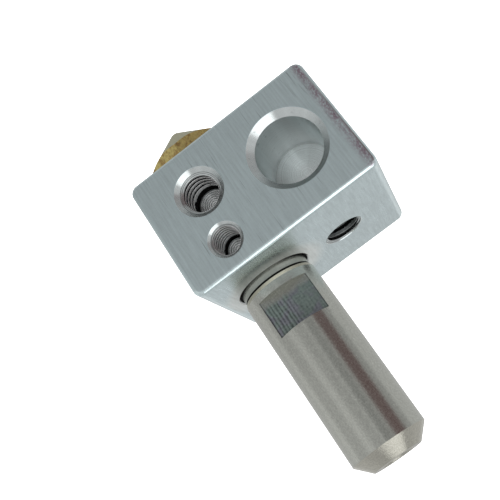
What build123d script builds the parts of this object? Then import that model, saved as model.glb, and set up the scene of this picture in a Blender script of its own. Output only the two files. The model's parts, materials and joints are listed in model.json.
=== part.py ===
from build123d import *
import os
from math import cos, pi, radians, tan

# Hotend of a filament 3D printer: an aluminium heater block with a brass nozzle and a steel throat.
#
# Frame: millimetres, origin at the centre of the nozzle's outlet, +Z up along the filament axis.
# The block's front face, with the heater bore and the two thermistor threads, looks along -Y.

# Block: a cuboid that is offset sideways from the filament axis.
BLOCK_BOTTOM_Z = 6.3
BLOCK_HEIGHT = 12.6
BLOCK_TOP_Z = BLOCK_BOTTOM_Z + BLOCK_HEIGHT
BLOCK_LEFT_X = -13.95
BLOCK_RIGHT_X = 5.55
BLOCK_FRONT_Y = -8.4
BLOCK_BACK_Y = 9.1
BLOCK_EDGE_R = 0.45
BLOCK_CORNER_R = 0.85

# Heater bore: blind, flat-bottomed, in the front face.
HEATER_X = -8.5
HEATER_Z = BLOCK_BOTTOM_Z + 6.35
HEATER_R = 3.15
HEATER_RIM_R = 3.8
HEATER_DEPTH = 7.5

# Central bore for the two male M7 threads. It is plain, and clears their crests.
BORE_R = 3.53
BORE_RIM_R = 3.92

# Tapped blind holes: the drill's radius, the thread's outer radius, its pitch, the radii of the countersink
# at its rim and at its end, the depth of the flat floor, the depth of full thread and the angle at which
# the thread ends. A flank of the thread's own slope joins the countersink to the drilled wall.
M4_HOLE = dict(
    drill_r=1.7, major_r=2.0, pitch=0.7, rim_r=2.4, sink_r=1.95, depth=4.4, threaded=3.65, turned=320)
M3_HOLE = dict(
    drill_r=1.3, major_r=1.5, pitch=0.5, rim_r=1.68, sink_r=1.42, depth=4.1, threaded=3.5, turned=330)
SIDE_HOLE = dict(
    drill_r=1.7, major_r=2.0, pitch=0.7, rim_r=2.06, sink_r=1.95, depth=2.8, threaded=2.0, turned=280)
THREAD_OVERRUN = 0.7
FLANK_SLOPE = tan(radians(30))
M4_PLACE = (0.1, BLOCK_BOTTOM_Z + 4.5)
M3_PLACE = (0.55, BLOCK_BOTTOM_Z + 9.72)
SIDE_PLACE = (-8.0, 0.8)

# Male M7 x 1 threads of the nozzle and the throat.
THREAD_R = 3.47
THREAD_ROOT_R = 2.88
THREAD_PITCH = 1.0
THREAD_LEAD_IN = 0.45
NOZZLE_THREAD_TURNED = 140
THROAT_THREAD_TURNED = 0
THREADS_MEET_Z = 12.6
SEAT_GAP = 0.02

# Nozzle: hexagon, cone and filament channel.
HEX_ACROSS_FLATS = 8.0
HEX_BOTTOM_Z = 2.8
HEX_TOP_Z = 6.0
HEX_TOP_CHAMFER = 0.35
TIP_R = 0.55
ORIFICE_R = 0.2
ORIFICE_LENGTH = 0.5
MELT_R = 1.0
MELT_CONE_ANGLE = 60
CHANNEL_MOUTH_CHAMFER = 0.3
RELIEF_R = 2.8
RELIEF_LENGTH = 0.8

# Throat: neck, collar in the block's countersink, turned groove, shoulder, shank with two wrench flats, and a
# tapered free end.
NECK_R = 3.45
NECK_START_Z = BLOCK_TOP_Z - 1.2
COLLAR_R = 3.56
COLLAR_START_Z = BLOCK_TOP_Z - 0.28
NECK_GROOVE_R = 3.25
NECK_GROOVE_Z = 19.6
NECK_GROOVE_WIDTH = 0.14
SHOULDER_R = 3.62
SHANK_R = 3.75
SHANK_START_Z = 20.1
SHANK_TAPER_Z = 36.98
THROAT_TOP_Z = 38.3
THROAT_TOP_R = 2.45
FILAMENT_R = 1.05
FUNNEL_R = 1.6
FLAT_START_Z = 20.9
FLAT_END_Z = 24.7
FLATS_ACROSS = 5.5
FLATS_TURN = -8.5

CUT_MARGIN = 1.0
SMALLEST_CUT = 0.5


def revolved(points):
    """A solid of revolution about Z from (radius, z) points."""
    return revolve(make_face(Polyline([(r, 0, z) for r, z in points], close=True)), Axis.Z)


def cut(body, tool):
    """The body without the tool's space. A cut that takes nothing away is an error."""
    left = body - tool
    if left.volume > body.volume - SMALLEST_CUT:
        raise ValueError("a cut took nothing away")
    return left


def helical_groove(mouth_r, root_r, mouth_width, root_width, pitch, start_z, length):
    """A groove that winds up around Z, from the radius of its mouth to the radius of its root."""
    path = Pos(0, 0, start_z) * Helix(pitch=pitch, height=length, radius=mouth_r)
    section = Plane(origin=path @ 0, x_dir=(1, 0, 0), z_dir=path % 0)
    depth = root_r - mouth_r
    overrun = -0.12 if depth > 0 else 0.12
    mouth = mouth_width / 2 + abs(overrun) * FLANK_SLOPE
    root = root_width / 2
    corners = [(overrun, -mouth), (depth, -root), (depth, root), (overrun, mouth)]
    profile = section * make_face(Polyline([(x, y, 0) for x, y in corners], close=True))
    return sweep(profile, path=path, is_frenet=True)


def tapped_hole(drill_r, major_r, pitch, rim_r, sink_r, depth, threaded, turned):
    """The two cuts of a countersunk, flat-bottomed tapped hole. Its mouth is at Z = 0 and it goes down."""
    sink = rim_r - sink_r
    hole = revolved([
        (0, CUT_MARGIN),
        (rim_r + CUT_MARGIN, CUT_MARGIN),
        (sink_r, -sink),
        (drill_r, -sink - (sink_r - drill_r) * FLANK_SLOPE),
        (drill_r, -depth),
        (0, -depth),
    ])
    root_width = pitch / 16
    mouth_width = 2 * (major_r - drill_r) * FLANK_SLOPE + root_width
    groove = helical_groove(
        drill_r, major_r, mouth_width, root_width, pitch,
        -threaded, threaded + THREAD_OVERRUN * pitch,
    )
    return hole, Rot(0, 0, turned) * groove


def male_thread(bottom_z, top_z, turned):
    """The groove to cut from a bar of the thread's radius, to leave an M7 thread."""
    mouth_width = THREAD_PITCH - THREAD_PITCH / 4
    root_width = mouth_width - 2 * (THREAD_R - THREAD_ROOT_R) * FLANK_SLOPE
    groove = helical_groove(
        THREAD_R, THREAD_ROOT_R, mouth_width, root_width, THREAD_PITCH,
        bottom_z - THREAD_PITCH / 2, top_z - bottom_z + THREAD_PITCH,
    )
    return Rot(0, 0, turned) * groove


def block_body():
    """The cuboid with all its edges rounded, and more so the four that run from front to back."""
    size = (BLOCK_RIGHT_X - BLOCK_LEFT_X, BLOCK_BACK_Y - BLOCK_FRONT_Y, BLOCK_HEIGHT)
    corner = Pos(BLOCK_LEFT_X, BLOCK_FRONT_Y, BLOCK_BOTTOM_Z)
    body = corner * Box(*size, align=(Align.MIN, Align.MIN, Align.MIN))
    body = fillet(body.edges().filter_by(Axis.Y), BLOCK_CORNER_R)
    return fillet(body.faces().filter_by(Axis.Y).edges(), BLOCK_EDGE_R)


def in_front_face(x, z):
    """The place of a hole that is drilled into the front face, with its own +Z out of the mouth."""
    return Plane(origin=(x, BLOCK_FRONT_Y, z), x_dir=(1, 0, 0), z_dir=(0, -1, 0))


def heater_block():
    """Block with the heater bore, the two thermistor threads, the side thread and the central bore."""
    heater = revolved([
        (0, CUT_MARGIN),
        (HEATER_RIM_R + CUT_MARGIN, CUT_MARGIN),
        (HEATER_R, HEATER_R - HEATER_RIM_R),
        (HEATER_R, -HEATER_DEPTH),
        (0, -HEATER_DEPTH),
    ])
    sink = BORE_RIM_R - BORE_R
    centre = revolved([
        (0, BLOCK_BOTTOM_Z - CUT_MARGIN),
        (BORE_RIM_R + CUT_MARGIN, BLOCK_BOTTOM_Z - CUT_MARGIN),
        (BORE_R, BLOCK_BOTTOM_Z + sink),
        (BORE_R, BLOCK_TOP_Z - sink),
        (BORE_RIM_R + CUT_MARGIN, BLOCK_TOP_Z + CUT_MARGIN),
        (0, BLOCK_TOP_Z + CUT_MARGIN),
    ])
    block = block_body() - centre - in_front_face(HEATER_X, HEATER_Z) * heater
    for place, sizes in (
        (in_front_face(*M4_PLACE), M4_HOLE),
        (in_front_face(*M3_PLACE), M3_HOLE),
        (Plane(origin=(*SIDE_PLACE, BLOCK_TOP_Z)), SIDE_HOLE),
    ):
        for tool in tapped_hole(**sizes):
            block = cut(block, place * tool)
    return block


def nozzle():
    """Brass nozzle: hexagon under the block, cone to the outlet, hollow M7 stem."""
    corner_r = HEX_ACROSS_FLATS / 2 / cos(pi / 6)
    cone_rise = HEX_BOTTOM_Z / (HEX_ACROSS_FLATS / 2 - TIP_R)
    cone_end_z = (corner_r - TIP_R) * cone_rise
    turned = revolved([
        (0, 0),
        (TIP_R, 0),
        (corner_r, cone_end_z),
        (corner_r, HEX_TOP_Z - HEX_TOP_CHAMFER),
        (corner_r - 2 * HEX_TOP_CHAMFER, HEX_TOP_Z),
        (0, HEX_TOP_Z),
    ])
    hexagon = extrude(RegularPolygon(radius=corner_r, side_count=6, rotation=30), HEX_TOP_Z)
    stem = revolved([
        (0, HEX_TOP_Z - CUT_MARGIN),
        (RELIEF_R, HEX_TOP_Z - CUT_MARGIN),
        (RELIEF_R, HEX_TOP_Z + RELIEF_LENGTH),
        (THREAD_R, HEX_TOP_Z + RELIEF_LENGTH + THREAD_R - RELIEF_R),
        (THREAD_R, THREADS_MEET_Z - THREAD_LEAD_IN),
        (THREAD_R - THREAD_LEAD_IN, THREADS_MEET_Z),
        (0, THREADS_MEET_Z),
    ])
    stem = cut(stem, male_thread(HEX_TOP_Z + RELIEF_LENGTH, THREADS_MEET_Z, NOZZLE_THREAD_TURNED))
    melt_cone = (MELT_R - ORIFICE_R) / tan(radians(MELT_CONE_ANGLE / 2))
    channel = revolved([
        (0, -CUT_MARGIN),
        (ORIFICE_R, -CUT_MARGIN),
        (ORIFICE_R, ORIFICE_LENGTH),
        (MELT_R, ORIFICE_LENGTH + melt_cone),
        (MELT_R, THREADS_MEET_Z - CHANNEL_MOUTH_CHAMFER),
        (MELT_R + CHANNEL_MOUTH_CHAMFER + CUT_MARGIN, THREADS_MEET_Z + CUT_MARGIN),
        (0, THREADS_MEET_Z + CUT_MARGIN),
    ])
    return (turned & hexagon) + stem - channel


def wrench_flats():
    """The two pads of metal that are milled off the shank."""
    length = FLAT_END_Z - FLAT_START_Z
    pads = Pos(0, 0, (FLAT_START_Z + FLAT_END_Z) / 2) * Box(3 * SHANK_R, 4 * SHANK_R, length)
    pads -= Box(4 * SHANK_R, FLATS_ACROSS, 3 * FLAT_END_Z)
    return Rot(0, 0, FLATS_TURN) * pads


def throat_tube():
    """Steel throat: M7 thread, neck, smooth shank with two wrench flats, tapered free end."""
    bottom_z = THREADS_MEET_Z + SEAT_GAP
    groove_end_z = NECK_GROOVE_Z + NECK_GROOVE_WIDTH
    thread_end_z = NECK_START_Z - RELIEF_LENGTH - (THREAD_R - RELIEF_R)
    body = revolved([
        (0, bottom_z),
        (THREAD_R - THREAD_LEAD_IN, bottom_z),
        (THREAD_R, bottom_z + THREAD_LEAD_IN),
        (THREAD_R, thread_end_z),
        (RELIEF_R, thread_end_z + THREAD_R - RELIEF_R),
        (RELIEF_R, NECK_START_Z),
        (NECK_R, NECK_START_Z),
        (NECK_R, COLLAR_START_Z),
        (COLLAR_R, COLLAR_START_Z),
        (COLLAR_R, NECK_GROOVE_Z),
        (NECK_GROOVE_R, NECK_GROOVE_Z),
        (NECK_GROOVE_R, groove_end_z),
        (SHOULDER_R, groove_end_z),
        (SHANK_R, SHANK_START_Z),
        (SHANK_R, SHANK_TAPER_Z),
        (THROAT_TOP_R, THROAT_TOP_Z),
        (0, THROAT_TOP_Z),
    ])
    funnel = FUNNEL_R - FILAMENT_R
    channel = revolved([
        (0, bottom_z - CUT_MARGIN),
        (FILAMENT_R + CHANNEL_MOUTH_CHAMFER + CUT_MARGIN, bottom_z - CUT_MARGIN),
        (FILAMENT_R, bottom_z + CHANNEL_MOUTH_CHAMFER),
        (FILAMENT_R, THROAT_TOP_Z - funnel),
        (FUNNEL_R + CUT_MARGIN, THROAT_TOP_Z + CUT_MARGIN),
        (0, THROAT_TOP_Z + CUT_MARGIN),
    ])
    return cut(body, male_thread(bottom_z, thread_end_z, THROAT_THREAD_TURNED)) - wrench_flats() - channel


def main():
    os.makedirs("parts", exist_ok=True)
    pieces = {
        "heater_block": heater_block(),
        "nozzle": nozzle(),
        "throat_tube": throat_tube(),
    }
    for name, piece in pieces.items():
        export_step(piece, f"parts/{name}.step")


main()
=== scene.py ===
"""Looks of the hotend: brushed aluminium block, turned steel throat and brass nozzle, over a pale floor."""
import json
from collections import namedtuple
from math import cos, degrees, radians, sin, tau

import bpy
from mathutils import Matrix, Vector


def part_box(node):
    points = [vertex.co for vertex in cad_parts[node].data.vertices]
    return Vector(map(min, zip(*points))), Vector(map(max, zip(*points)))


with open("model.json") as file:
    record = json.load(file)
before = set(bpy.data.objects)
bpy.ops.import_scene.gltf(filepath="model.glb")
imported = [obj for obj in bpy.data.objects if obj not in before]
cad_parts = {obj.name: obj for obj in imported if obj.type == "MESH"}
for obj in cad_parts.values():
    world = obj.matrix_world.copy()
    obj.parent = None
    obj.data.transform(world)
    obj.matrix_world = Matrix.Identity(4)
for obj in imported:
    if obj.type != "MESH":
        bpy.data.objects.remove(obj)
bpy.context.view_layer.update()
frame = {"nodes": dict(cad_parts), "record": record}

MM = 0.001

# Camera: a point on the block's front face, and where the camera stands from it.
CAMERA_TARGET = Vector((-1.66, -8.4, 15.12)) * MM
CAMERA_AZIMUTH = radians(-6.17)
CAMERA_ELEVATION = radians(22.88)
CAMERA_ROLL = radians(145.04)
CAMERA_DISTANCE = 70.3 * MM
LENS = 58.26
SENSOR = 36.0
SHIFT = (0.020, -0.068)

# Floor: under the nozzle's tip even when the block and the nozzle are unscrewed.
FLOOR_Z = -20 * MM
FLOOR_SIZE = 4.0
FLOOR_WHITE = 0.85
FLOOR_GLOW = 1.4
BACKGROUND = 1.3

# Key light: a soft box above the object, a little to the front.
KEY_DIRECTION = Vector((-0.19, -0.42, 0.9)).normalized()
KEY_DISTANCE = 0.35
KEY_SIZE = 0.30
KEY_POWER = 0.27

# Studio brightness against the height of a direction, from straight down (-1) to straight up (1).
STUDIO = ((-0.95, 0.40), (-0.55, 0.35), (-0.3, 0.40), (0.0, 0.46), (0.35, 0.54), (0.65, 0.54), (1.0, 0.40))
# Panels round the object: azimuth and half width in degrees, lowest and highest direction, tint.
PANELS = (
    (-81, 12, -0.35, 0.2, (0.87, 0.87, 0.87)),
    (-52, 17, -0.45, 0.2, (0.35, 0.23, 0.23)),
    (-17, 11, -0.30, 0.2, (0.64, 0.64, 0.64)),
    (-1, 1.5, -0.30, 0.2, (1.60, 1.60, 1.60)),
    (41, 10, -0.35, 0.2, (1.28, 1.28, 1.28)),
    (65, 45, -0.35, 0.2, (1.14, 1.14, 1.14)),
    (130, 40, -0.45, 0.3, (1.30, 1.30, 1.30)),
    (-130, 40, -0.45, 0.3, (1.30, 1.30, 1.30)),
)
PANEL_SOFT_DEGREES = 4
PANEL_SOFT_HEIGHT = 0.06

# Holes of the block, in millimetres. name is the record's mount in each, rim the radius of its mouth, sink
# the radius where its countersink ends, depth how deep it is, and turns the depths between which it has a
# thread. Then a factor for how dark the painted shade in its corners is, which also sets how strong its
# turned lines and floor rings are, and a factor for how much the painted highlight brightens its thread, or
# below 1 how much painted shade darkens it.
HOLES = (
    dict(name="heater_bore", rim=3.80, sink=3.15, depth=7.5, turns=(7.42, 7.42), shade_and_marks=0.18, shine=1.0),
    dict(name="thermistor_m4", rim=2.40, sink=1.95, depth=4.4, turns=(0.60, 3.70), shade_and_marks=1.0, shine=2.0),
    dict(name="thermistor_m3", rim=1.68, sink=1.42, depth=4.1, turns=(0.33, 3.55), shade_and_marks=1.0, shine=2.6),
    dict(name="side_m4", rim=2.06, sink=1.95, depth=2.8, turns=(0.26, 2.10), shade_and_marks=1.0, shine=0.75),
)
# How far past those sizes a surface still counts as the hole's.
HOLE_MARGIN = 0.03
# How far past its wall a thread's groove is painted all black as shade, and the width of the painted dark
# shade in the corner round a hole's floor.
TURN_DEPTH = 0.05
CORNER_WIDTH = 0.24
# Width of the turned lines on a countersink, and the step between the rings that the drill left on a floor.
LINE_WIDTH = 0.05
FLOOR_RING_STEP = 0.22

# Block, in millimetres: the radius of the mouth that the throat goes into, how far from that mouth the
# painted warm reflection of the throat on the top face starts and is full, and the two sides of the painted
# reddish reflection on the front and the back.
BLOCK_TOP_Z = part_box("heater_block")[1].z / MM
CENTRAL_RIM = 3.95
WARM_REFLECTION_FROM_RIM = (2.2, 0.4)
REDDISH_REFLECTION_X = (-13.6, -12.6)

# Throat, in millimetres: its wrench flats and the places where its finish changes.
FLATS_TURN = radians(-8.5)
FLATS_HALF = 2.75
FLATS_Z = (20.9, 24.7)
FLAT_EDGE = 2.55
MILLED_Z = 21.65
MILLED_PITCH = 0.34
RIPPLE_STEP = 0.3
TAPER_Z = 36.98
SHANK_R = 3.75
GROOVE_Z = (19.56, 19.78)
SHOULDER_Z = (19.78, 20.1)
NECK_Z = 17.8
# The painted shade in the gap round the throat darkens towards its two sides, between these distances from
# the axis along X.
SIDES_X = (1.6, 3.3)

# Share of its tone that a surface keeps where it is painted black: painted shade deep in a thread's groove,
# in a hole's corner, in the gap round the throat and on the throat inside the block, and the turned lines.
BLACK = 0.04

# Colours of the metals. A painted reddish reflection, the painted warm reflection and the shoulder multiply
# the colour that is there.
WHITE = (1, 1, 1)
BRUSHED_COLOUR = (0.72, 0.84, 0.86)
TURNED_COLOUR = (0.76, 0.81, 0.81)
REDDISH_REFLECTION_TINT = (0.54, 0.35, 0.41)
WARM_REFLECTION_TINT = (1.26, 1.14, 1.09)
SHANK_COLOUR = (0.575, 0.587, 0.538)
TAPER_COLOUR = (0.60, 0.59, 0.52)
SHOULDER_TINT = (1.0, 0.93, 0.84)
MILLED_COLOURS = ((0.262, 0.27, 0.30), (0.245, 0.295, 0.275))
BRASS_COLOURS = ((0.88, 0.73, 0.29), (0.58, 0.40, 0.16))
CONE_COLOUR = (0.72, 0.71, 0.50)

MOUNTS = {mount["name"]: mount for mount in frame["record"]["mounts"]}

# The finish of a hole: where its surfaces are, the distance along them and their grain, then where they have
# painted shade or turned lines, a thread and a floor, then the floor's rings, the painted highlight or shade
# on the thread and the change round the axis.
Turned = namedtuple("Turned", "inside distance grain grime thread floor rings shine fan")


class Graph:
    """Short ways to write a shader's nodes. An input is a number, a tuple or another node's output."""

    def __init__(self, tree):
        self.tree = tree
        tree.nodes.clear()

    def add(self, kind, inputs=(), output=0, **settings):
        node = self.tree.nodes.new(kind)
        for name, value in settings.items():
            setattr(node, name, value)
        for place, value in inputs.items() if isinstance(inputs, dict) else enumerate(inputs):
            if isinstance(value, bpy.types.NodeSocket):
                self.tree.links.new(value, node.inputs[place])
            else:
                node.inputs[place].default_value = value
        return node.outputs[output] if node.outputs else node

    def math(self, operation, *inputs):
        return self.add("ShaderNodeMath", inputs, operation=operation)

    def sum(self, first, *others):
        for other in others:
            first = self.math("ADD", first, other)
        return first

    def product(self, first, *others):
        for other in others:
            first = self.math("MULTIPLY", first, other)
        return first

    def largest(self, first, *others):
        for other in others:
            first = self.math("MAXIMUM", first, other)
        return first

    def vector(self, operation, *inputs, output=0):
        return self.add("ShaderNodeVectorMath", inputs, output, operation=operation)

    def separate(self, vector):
        return self.add("ShaderNodeSeparateXYZ", (vector,)).node.outputs

    def length(self, vector):
        return self.vector("LENGTH", vector, output="Value")

    def dot(self, first, second):
        return self.vector("DOT_PRODUCT", first, second, output="Value")

    def scaled(self, vector, factor):
        """A vector or a colour times a number."""
        return self.add("ShaderNodeVectorMath", {0: vector, "Scale": factor}, operation="SCALE")

    def rise(self, value, start, end, low=0.0, high=1.0):
        """Goes smoothly from low to high as value goes from start to end."""
        inputs = (value, start, end, low, high)
        return self.add("ShaderNodeMapRange", inputs, interpolation_type="SMOOTHSTEP")

    def within(self, value, low, high, soft):
        """1 between low and high, and 0 outside, with soft edges."""
        rising = self.rise(value, low - soft, low + soft)
        return self.product(rising, self.rise(value, high - soft, high + soft, 1.0, 0.0))

    def wave(self, value, step):
        """A sine from -1 to 1 that repeats each time value grows by step."""
        return self.math("SINE", self.product(value, tau / step))

    def noise(self, vector, scale, detail=2.0):
        """Noise about 0.5. The scale is in features per millimetre along X, Y and Z."""
        inputs = {"Vector": self.vector("MULTIPLY", vector, scale), "Scale": 1.0, "Detail": detail}
        return self.add("ShaderNodeTexNoise", inputs)

    def noise_along(self, value, scale, detail=2.0):
        """Noise that changes with one number only."""
        inputs = {"W": self.math("MULTIPLY", value, scale), "Scale": 1.0, "Detail": detail}
        return self.add("ShaderNodeTexNoise", inputs, noise_dimensions="1D")

    def mixed(self, factor, low, high):
        """low where factor is 0 and high where it is 1, for numbers."""
        return self.add("ShaderNodeMix", {0: factor, 2: low, 3: high}, 0, data_type="FLOAT")

    def blended(self, factor, low, high):
        """low where factor is 0 and high where it is 1, for vectors and colours."""
        return self.add("ShaderNodeMix", {0: factor, 4: low, 5: high}, 1, data_type="VECTOR")

    def tinted(self, factor, colour, tint):
        """The colour where factor is 0, and the colour times the tint where it is 1."""
        return self.vector("MULTIPLY", colour, self.blended(factor, WHITE, tint))


def metal(name, parts):
    """A metal. parts(graph, place, normal) gives its colour, roughness, height in millimetres and grain."""
    material = bpy.data.materials.new(name)
    material.use_nodes = True
    graph = Graph(material.node_tree)
    place = graph.scaled(graph.add("ShaderNodeTexCoord", output="Object"), 1 / MM)
    normal = graph.add("ShaderNodeTexCoord", output="Normal")
    colour, roughness, height, grain = parts(graph, place, normal)
    bump = graph.add("ShaderNodeBump", {"Height": height, "Distance": MM})
    shader = graph.add("ShaderNodeBsdfPrincipled", {
        "Base Color": colour,
        "Metallic": 1.0,
        "Roughness": roughness,
        "Anisotropic": 0.6,
        "Tangent": grain,
        "Normal": bump,
    })
    graph.add("ShaderNodeOutputMaterial", (shader,))
    return material


def about_axis(graph, place):
    """The direction away from the axis of the throat and the nozzle, and the distance from it."""
    radial = graph.vector("MULTIPLY", place, (1, 1, 0))
    return graph.vector("NORMALIZE", radial), graph.length(radial)


def at_sides(graph, place):
    """0 in front of and behind the throat, and 1 at its two sides."""
    return graph.rise(graph.math("ABSOLUTE", graph.separate(place)[0]), *SIDES_X)


def hole(graph, place, name, rim, sink, depth, turns, shade_and_marks, shine):
    """The finish of one hole of the block, as a Turned."""
    mount = MOUNTS[name]
    turns_start, turns_end = turns
    outward = Vector(mount["axis"])
    low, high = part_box("heater_block")
    mouth = max(low.dot(outward), high.dot(outward)) / MM
    offset = graph.vector("SUBTRACT", place, Vector(mount["pos_m"]) / MM)
    across = Vector([1 - abs(part) for part in outward])
    radial = graph.vector("MULTIPLY", offset, across)
    radius = graph.length(radial)
    down = graph.math("SUBTRACT", mouth, graph.dot(place, outward))
    inside = graph.product(
        graph.math("LESS_THAN", radius, rim + HOLE_MARGIN),
        graph.math("GREATER_THAN", down, HOLE_MARGIN / 2),
        graph.math("LESS_THAN", down, depth + HOLE_MARGIN),
    )
    around = graph.vector("NORMALIZE", radial)
    wall = mount["dims"]["r_mm"]
    # Painted shade: past the wall, the thread's grooves are painted black.
    thread_shade = graph.product(
        graph.rise(radius, wall + TURN_DEPTH / 8, wall + TURN_DEPTH),
        graph.math("GREATER_THAN", down, turns_start),
    )
    # Painted shade: a dark ring painted in the corner round the floor, below the thread.
    corner_shade = graph.product(
        graph.rise(down, turns_end, turns_end + 0.1),
        graph.rise(radius, wall - CORNER_WIDTH, wall - CORNER_WIDTH / 2),
        shade_and_marks,
    )
    first_line, second_line = [
        graph.within(radius, middle - LINE_WIDTH / 2, middle + LINE_WIDTH / 2, 0.02)
        for middle in (sink, (sink + wall) / 2)
    ]
    lines = graph.product(
        graph.largest(first_line, second_line),
        graph.math("LESS_THAN", down, turns_start),
        shade_and_marks * 0.6,
    )
    thread = graph.product(inside, graph.within(down, turns_start, turns_end, 0.02))
    bottom = graph.product(inside, graph.math("LESS_THAN", radius, wall - HOLE_MARGIN))
    return Turned(
        inside=inside,
        distance=graph.product(inside, graph.sum(radius, down)),
        grain=graph.vector("ADD", around, outward * 0.5),
        grime=graph.product(graph.largest(thread_shade, corner_shade, lines), inside),
        thread=thread,
        floor=bottom,
        rings=graph.product(graph.wave(radius, FLOOR_RING_STEP), bottom, 0.5 * shade_and_marks * shade_and_marks),
        # Painted highlight on the thread, or painted shade where the factor is below 1.
        shine=graph.mixed(thread, 1.0, shine),
        fan=graph.product(inside, graph.noise(around, (3, 3, 3), 3)),
    )


def reddish_reflection(graph, place, along):
    """1 where a reddish reflection is painted near -X on the front and the back, in grains that thin out
    towards +X.
    """
    x = graph.separate(place)[0]
    start_x, end_x = REDDISH_REFLECTION_X
    return graph.product(
        graph.rise(x, start_x - 0.08, start_x + 0.02),
        graph.rise(x, start_x + 0.1, end_x, 1.0, 0.0),
        graph.rise(graph.noise(place, (0.8, 0.8, 0.8), 2), 0.3, 0.55, 0.55, 1.0),
        graph.rise(graph.noise(place, (8, 8, 5), 2), 0.22, 0.62),
        graph.math("GREATER_THAN", along, 0.7),
    )


def aluminium(graph, place, normal):
    """Brushed faces, polished edges and turned holes, with painted shade and painted reflections."""
    z = graph.separate(place)[2]
    across, along, up = graph.separate(graph.vector("ABSOLUTE", normal))
    lid = graph.rise(up, 0.6, 0.8)
    edge = graph.rise(graph.largest(across, along, up), 0.985, 0.93)
    side_streaks = graph.noise(place, (5, 5, 0.3), 4)
    lid_streaks = graph.noise(place, (5, 0.5, 5), 3)
    streaks = graph.mixed(lid, side_streaks, lid_streaks)
    scratches = graph.rise(graph.noise(place, (6, 6, 0.25), 1), 0.70, 0.76)
    scratches = graph.product(scratches, graph.math("SUBTRACT", 1, lid))
    cloud = graph.noise(place, (0.3, 0.3, 0.3), 2)

    grain = graph.blended(lid, (0.707, -0.707, 0), (1, 0, 0))
    grain = graph.vector("MULTIPLY", grain, (1, 1, 0))
    finishes = [hole(graph, place, **sizes) for sizes in HOLES]
    for finish in finishes:
        grain = graph.blended(finish.inside, grain, finish.grain)
    masks = Turned(*zip(*finishes))
    distance = graph.sum(*masks.distance)
    threads = graph.largest(*masks.thread)

    around, radius = about_axis(graph, place)
    central = graph.math("LESS_THAN", radius, CENTRAL_RIM)
    grain = graph.blended(central, grain, graph.vector("ADD", around, (0, 0, 0.5)))
    holes = graph.largest(*masks.inside, central)
    # Painted shade: the mouth round the throat is painted dark below the top face, most at its two sides.
    gap_shade = graph.product(
        central,
        graph.rise(z, BLOCK_TOP_Z - 0.06, BLOCK_TOP_Z - 0.16),
        graph.mixed(at_sides(graph, place), 0.35, 1.0),
    )
    grime = graph.largest(*masks.grime, gap_shade)
    reflection_start, reflection_end = WARM_REFLECTION_FROM_RIM
    # Painted reflection: the top face round the throat is tinted warm, as if it mirrored the throat.
    warm_reflection = graph.product(
        graph.rise(radius, CENTRAL_RIM + reflection_start, CENTRAL_RIM + reflection_end),
        lid,
        graph.math("GREATER_THAN", z, BLOCK_TOP_Z - 0.02),
    )
    dents = graph.rise(graph.noise(place, (2.2, 2.2, 2.2), 3), 0.66, 0.72)
    turning = graph.noise_along(distance, 9, 3)

    tone = graph.sum(
        0.69,
        graph.product(streaks, 0.44),
        graph.product(cloud, 0.06),
        graph.product(graph.noise(place, (6, 6, 6), 2), 0.10),
        graph.product(scratches, -0.25),
    )
    tone = graph.product(tone, graph.mixed(edge, 1.0, 1.15))
    turned = graph.sum(
        0.58,
        graph.product(turning, 0.42),
        graph.product(dents, -0.2),
        graph.product(graph.sum(*masks.fan), 0.40),
        graph.product(graph.largest(*masks.floor), -0.06),
        graph.rise(distance, 4.5, 9.0, 0.0, 0.14),
        *masks.rings,
    )
    tone = graph.mixed(holes, tone, turned)
    # The painted shade and the turned lines go near black, and the painted crest light scales the threads.
    tone = graph.product(tone, graph.mixed(grime, 1.0, BLACK), *masks.shine)
    colour = graph.scaled(graph.blended(holes, BRUSHED_COLOUR, TURNED_COLOUR), tone)
    # Painted reflection: a dark reddish band on the -X margin of the front and the back.
    colour = graph.tinted(reddish_reflection(graph, place, along), colour, REDDISH_REFLECTION_TINT)
    colour = graph.tinted(warm_reflection, colour, WARM_REFLECTION_TINT)
    roughness = graph.sum(graph.mixed(lid, 0.30, 0.22), graph.product(streaks, 0.08))
    roughness = graph.mixed(edge, roughness, 0.20)
    roughness = graph.mixed(warm_reflection, roughness, 0.46)
    roughness = graph.mixed(holes, roughness, graph.mixed(threads, 0.24, 0.4))
    roughness = graph.mixed(grime, roughness, 0.9)
    height = graph.mixed(holes, graph.product(streaks, 0.0025), graph.product(turning, 0.004))
    return colour, roughness, height, grain


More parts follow.
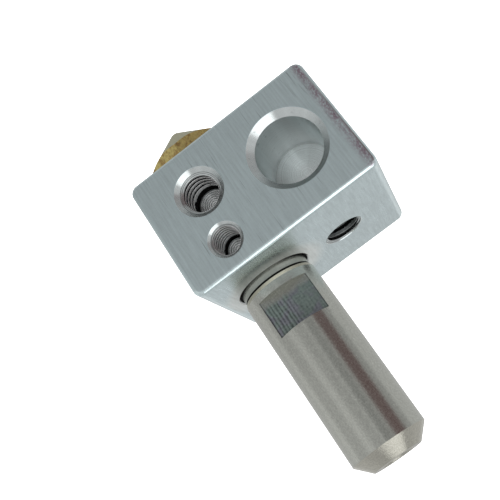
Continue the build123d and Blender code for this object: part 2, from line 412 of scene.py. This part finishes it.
def steel(graph, place, normal):
    """Turned shank with a fine grain, milled wrench flats and a turned taper, with painted shade at the neck.
    """
    z = graph.separate(place)[2]
    around, radius = about_axis(graph, place)
    outward = (sin(FLATS_TURN), -cos(FLATS_TURN), 0)
    sideways = (cos(FLATS_TURN), sin(FLATS_TURN), 0)
    from_axis = graph.math("ABSOLUTE", graph.dot(place, outward))
    over_flat = graph.dot(place, sideways)
    flats = graph.product(
        graph.math("COMPARE", from_axis, FLATS_HALF, 0.02),
        graph.math("LESS_THAN", radius, SHANK_R - 0.01),
        graph.within(z, *FLATS_Z, 0.01),
    )
    uneven = graph.noise(place, (1.5, 1.5, 1.0), 2)
    milled = graph.rise(graph.sum(z, graph.product(uneven, 0.5)), MILLED_Z - 0.1, MILLED_Z + 0.5)
    milled = graph.product(flats, milled)
    wobble = graph.product(graph.noise(place, (2, 2, 0.6), 2), 0.3)
    lined = graph.rise(graph.sum(over_flat, graph.product(uneven, 0.8)), -0.2, 1.2, 0.25, 1.0)
    lines = graph.product(graph.wave(graph.sum(over_flat, wobble), MILLED_PITCH), lined)
    ripples = graph.wave(z, RIPPLE_STEP)
    mottle = graph.noise(place, (5, 5, 5), 3)
    rim = graph.largest(
        graph.rise(graph.math("ABSOLUTE", over_flat), FLAT_EDGE - 0.16, FLAT_EDGE - 0.06),
        graph.rise(z, FLATS_Z[1] - 0.16, FLATS_Z[1] - 0.06),
    )
    rim = graph.product(rim, flats)
    taper = graph.math("GREATER_THAN", z, TAPER_Z)
    grit = graph.noise(place, (6, 6, 5), 4)
    rings = graph.noise_along(z, 14, 3)

    tone = graph.sum(0.72, graph.product(grit, 0.50), graph.product(rings, 0.05))
    shank = graph.blended(taper, SHANK_COLOUR, TAPER_COLOUR)
    shoulder = graph.within(z, *SHOULDER_Z, 0.02)
    # Painted shade: the neck under the groove is darker, the throat inside the block near black and the
    # groove dark.
    neck_shade = graph.rise(z, GROOVE_Z[1], GROOVE_Z[0])
    sunk_shade = graph.within(z, NECK_Z, BLOCK_TOP_Z - 0.22, 0.08)
    sunk_shade = graph.product(sunk_shade, graph.mixed(at_sides(graph, place), 0.6, 1.0))
    groove_shade = graph.within(z, *GROOVE_Z, 0.01)
    tone = graph.product(
        tone,
        graph.mixed(shoulder, 1.0, 0.95),
        graph.mixed(neck_shade, 1.0, 0.75),
        graph.mixed(sunk_shade, 1.0, BLACK),
        graph.mixed(groove_shade, 1.0, 0.08),
    )
    colour = graph.scaled(shank, tone)
    colour = graph.tinted(shoulder, colour, SHOULDER_TINT)
    milled_tone = graph.sum(
        0.52,
        graph.product(lines, 0.34),
        graph.product(ripples, 0.05),
        graph.product(mottle, 1.0),
    )
    greenish = graph.rise(graph.noise(place, (0.9, 0.9, 0.9), 1), 0.42, 0.58)
    milled_colour = graph.scaled(graph.blended(greenish, *MILLED_COLOURS), milled_tone)
    colour = graph.scaled(colour, graph.mixed(flats, 1.0, 0.72))
    colour = graph.blended(milled, colour, milled_colour)
    colour = graph.scaled(colour, graph.mixed(rim, 1.0, 0.5))
    roughness = graph.sum(0.20, graph.product(grit, 0.10))
    roughness = graph.mixed(milled, roughness, 0.42)
    height = graph.sum(graph.product(grit, 0.006), graph.product(rings, 0.002))
    milled_height = graph.sum(graph.product(lines, 0.006), graph.product(mottle, 0.02))
    height = graph.mixed(milled, height, milled_height)
    slope = graph.vector("ADD", graph.scaled(around, 0.5), (0, 0, 1))
    return colour, roughness, height, slope


def brass(graph, place, normal):
    """Mottled hexagon and a paler turned cone."""
    z = graph.separate(place)[2]
    down = graph.math("MULTIPLY", graph.separate(normal)[2], -1)
    cone = graph.rise(down, 0.3, 0.5)
    around, radius = about_axis(graph, place)
    mottle = graph.noise(place, (4.5, 4.5, 3), 4)
    stain = graph.rise(graph.noise(place, (2.2, 2.2, 1.4), 4), 0.46, 0.66)
    rings = graph.noise_along(graph.sum(radius, z), 10, 3)
    yellow = graph.blended(stain, *BRASS_COLOURS)
    colour = graph.blended(cone, yellow, CONE_COLOUR)
    colour = graph.scaled(colour, graph.sum(0.56, graph.product(mottle, 0.82), graph.product(rings, 0.06)))
    roughness = graph.sum(0.26, graph.product(mottle, 0.16))
    height = graph.sum(graph.product(rings, 0.003), graph.product(mottle, 0.01))
    slope = graph.vector("ADD", graph.scaled(around, 0.5), (0, 0, 1))
    return colour, roughness, height, slope


def studio():
    """A white studio whose panels the metal mirrors."""
    world = bpy.data.worlds.new("studio")
    world.use_nodes = True
    bpy.context.scene.world = world
    graph = Graph(world.node_tree)
    direction = graph.add("ShaderNodeTexCoord", output="Generated")
    x, y, z = graph.separate(direction)
    brightness = graph.add("ShaderNodeValToRGB", (graph.product(graph.sum(z, 1), 0.5),))
    elements = brightness.node.color_ramp.elements
    while len(elements) < len(STUDIO):
        elements.new(0.5)
    for element, (height, value) in zip(elements, STUDIO):
        element.position = (height + 1) / 2
        element.color = (value, value, value, 1)
    light = brightness
    azimuth = graph.product(graph.math("ARCTAN2", x, graph.product(y, -1)), degrees(1))
    for centre, half, low, high, tint in PANELS:
        panel = graph.product(
            graph.within(azimuth, centre - half, centre + half, PANEL_SOFT_DEGREES),
            graph.within(z, low, high, PANEL_SOFT_HEIGHT),
        )
        light = graph.tinted(panel, light, tint)
    seen = graph.add("ShaderNodeBackground", ((1, 1, 1, 1), BACKGROUND))
    mirrored = graph.add("ShaderNodeBackground", {"Color": light})
    camera_ray = graph.add("ShaderNodeLightPath", output="Is Camera Ray")
    graph.add("ShaderNodeOutputWorld", (graph.add("ShaderNodeMixShader", (camera_ray, mirrored, seen)),))


def floor():
    """A plain pale floor. The metal mirrors the studio, not the floor."""
    half = FLOOR_SIZE / 2
    corners = [(x, y, FLOOR_Z) for x, y in ((-half, -half), (half, -half), (half, half), (-half, half))]
    mesh = bpy.data.meshes.new("floor")
    mesh.from_pydata(corners, [], [(0, 1, 2, 3)])
    plane = bpy.data.objects.new("floor", mesh)
    bpy.context.collection.objects.link(plane)
    material = bpy.data.materials.new("floor_white")
    material.use_nodes = True
    graph = Graph(material.node_tree)
    shader = graph.add("ShaderNodeBsdfPrincipled", {
        "Base Color": (FLOOR_WHITE, FLOOR_WHITE, FLOOR_WHITE, 1),
        "Roughness": 0.9,
        "Emission Color": (1, 1, 1, 1),
        "Emission Strength": FLOOR_GLOW,
    })
    graph.add("ShaderNodeOutputMaterial", (shader,))
    mesh.materials.append(material)
    plane.visible_glossy = False


def key_light():
    light = bpy.data.lights.new("key", "AREA")
    light.size = KEY_SIZE
    light.energy = KEY_POWER
    lamp = bpy.data.objects.new("key", light)
    lamp.location = KEY_DIRECTION * KEY_DISTANCE
    lamp.rotation_mode = "QUATERNION"
    lamp.rotation_quaternion = KEY_DIRECTION.to_track_quat("Z", "Y")
    lamp.visible_camera = False
    bpy.context.collection.objects.link(lamp)


def camera():
    data = bpy.data.cameras.new("camera")
    data.lens = LENS
    data.sensor_width = SENSOR
    data.shift_x, data.shift_y = SHIFT
    data.clip_start = 0.001
    data.clip_end = 20
    eye = bpy.data.objects.new("camera", data)
    back = Vector((
        sin(CAMERA_AZIMUTH) * cos(CAMERA_ELEVATION),
        -cos(CAMERA_AZIMUTH) * cos(CAMERA_ELEVATION),
        sin(CAMERA_ELEVATION),
    ))
    look = (-back).to_track_quat("-Z", "Y").to_matrix().to_4x4()
    place = Matrix.Translation(CAMERA_TARGET + back * CAMERA_DISTANCE)
    eye.matrix_world = place @ look @ Matrix.Rotation(CAMERA_ROLL, 4, "Z")
    bpy.context.collection.objects.link(eye)
    bpy.context.scene.camera = eye


def dress(node, material):
    for slot in frame["nodes"][node].material_slots:
        slot.material = material


bpy.context.scene.view_settings.view_transform = "Standard"
camera()
studio()
floor()
key_light()
dress("heater_block", metal("brushed_aluminium", aluminium))
dress("throat_tube", metal("turned_steel", steel))
dress("nozzle", metal("mottled_brass", brass))
